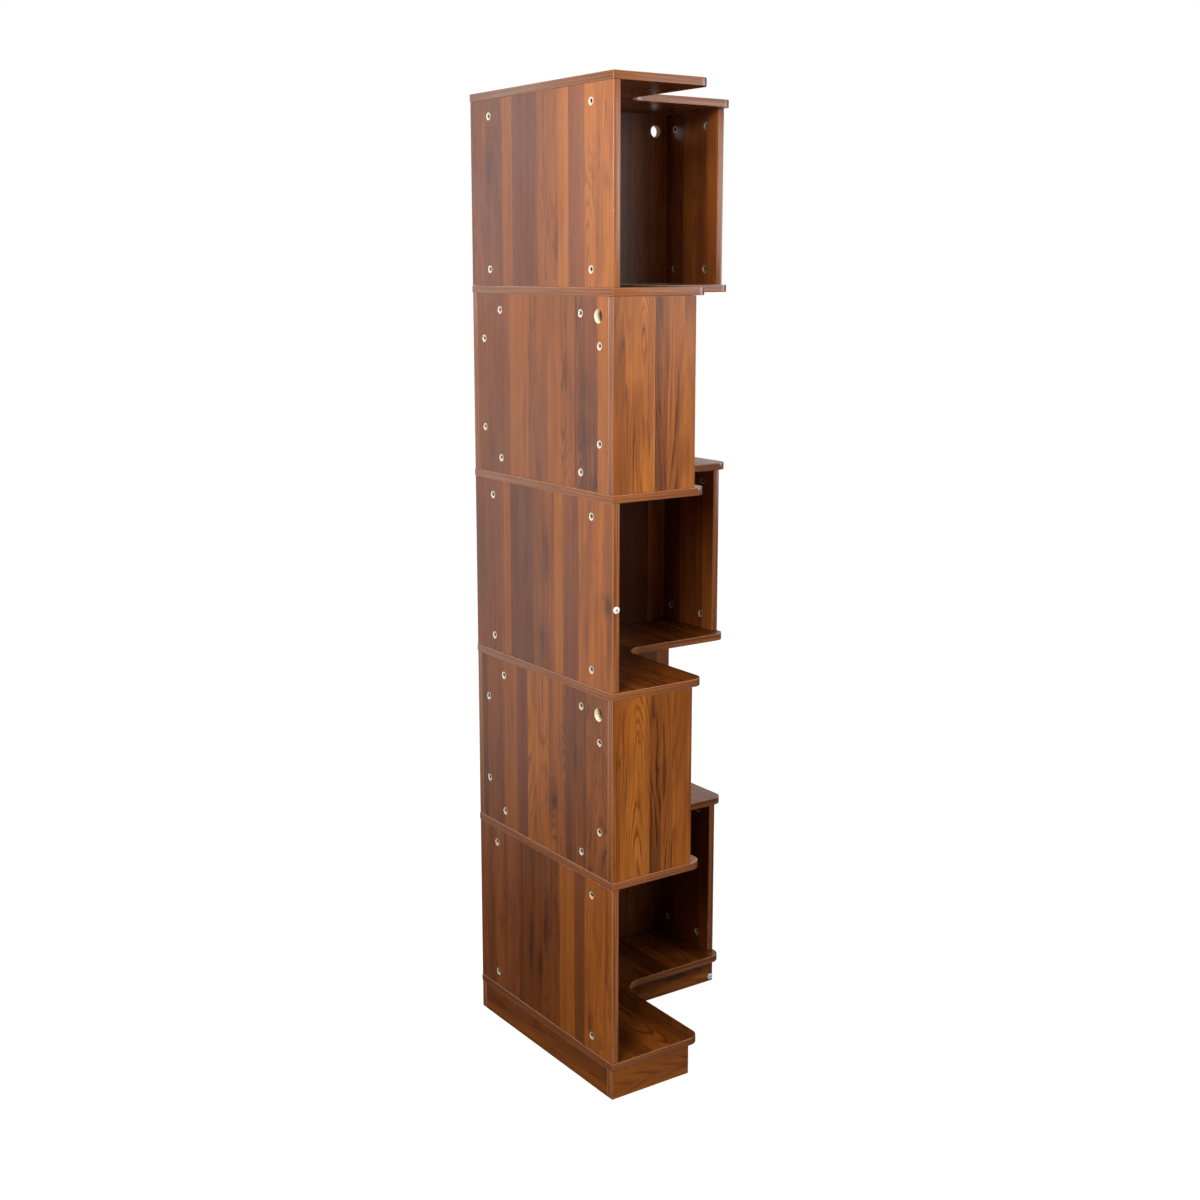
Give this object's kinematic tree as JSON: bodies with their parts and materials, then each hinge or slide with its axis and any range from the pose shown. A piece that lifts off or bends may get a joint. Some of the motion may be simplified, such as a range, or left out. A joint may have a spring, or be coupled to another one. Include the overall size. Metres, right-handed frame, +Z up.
{
  "type": "corner bookcase",
  "caption": "Tall open corner bookcase with an L-shaped plan: rounded shelf boards over a recessed plinth, walls and closed ends that alternate tier by tier, cam-jointed.",
  "frame": {"origin": "on the floor, at the middle of the rectangle that the bookcase spans", "axes": "+Z up; the room's corner is at -X, +Y; the left wing runs along the wall at -X and the right wing along the wall at +Y; the crook of the L opens to +X, -Y"},
  "size_m": [0.5, 0.5024, 1.95],
  "materials": {
    "walnut_laminate": "satin printed walnut laminate on chipboard",
    "zinc": "die-cast zinc",
    "white_plastic": "moulded, matte"
  },
  "bodies": {
    "root": {"base_shelf": "walnut_laminate", "shelf_2": "walnut_laminate", "shelf_3": "walnut_laminate", "shelf_4": "walnut_laminate", "shelf_5": "walnut_laminate", "top_shelf": "walnut_laminate", "left_wall_panel_1": "walnut_laminate", "right_wall_panel_1": "walnut_laminate", "right_end_panel_1": "walnut_laminate", "left_wall_panel_2": "walnut_laminate", "right_wall_panel_2": "walnut_laminate", "left_end_panel_2": "walnut_laminate", "left_wall_panel_3": "walnut_laminate", "right_wall_panel_3": "walnut_laminate", "right_end_panel_3": "walnut_laminate", "left_wall_panel_4": "walnut_laminate", "right_wall_panel_4": "walnut_laminate", "left_end_panel_4": "walnut_laminate", "left_wall_panel_5": "walnut_laminate", "right_wall_panel_5": "walnut_laminate", "right_end_panel_5": "walnut_laminate", "left_wall_plinth": "walnut_laminate", "left_front_plinth": "walnut_laminate", "left_end_plinth": "walnut_laminate", "right_wall_plinth": "walnut_laminate", "right_front_plinth": "walnut_laminate", "right_end_plinth": "walnut_laminate", "cam_fitting_1_top_1": "zinc", "cam_fitting_1_top_2": "zinc", "cam_fitting_1_bottom_1": "zinc", "cam_fitting_1_bottom_2": "zinc", "cam_fitting_2_top_1": "zinc", "cam_fitting_2_top_2": "zinc", "cam_fitting_2_bottom_1": "zinc", "cam_fitting_2_bottom_2": "zinc", "cam_fitting_2_end_upper": "zinc", "cam_fitting_2_end_lower": "zinc", "cam_fitting_2_corner_upper": "zinc", "cam_fitting_2_corner_lower": "zinc", "cam_fitting_3_top_1": "zinc", "cam_fitting_3_top_2": "zinc", "cam_fitting_3_bottom_1": "zinc", "cam_fitting_3_bottom_2": "zinc", "cam_fitting_4_top_1": "zinc", "cam_fitting_4_top_2": "zinc", "cam_fitting_4_bottom_1": "zinc", "cam_fitting_4_bottom_2": "zinc", "cam_fitting_4_end_upper": "zinc", "cam_fitting_4_end_lower": "zinc", "cam_fitting_4_corner_upper": "zinc", "cam_fitting_4_corner_lower": "zinc", "cam_fitting_5_top_1": "zinc", "cam_fitting_5_top_2": "zinc", "cam_fitting_5_bottom_1": "zinc", "cam_fitting_5_bottom_2": "zinc", "panel_edge_glide": "white_plastic", "plinth_edge_glide": "white_plastic"}
  },
  "joints": []
}
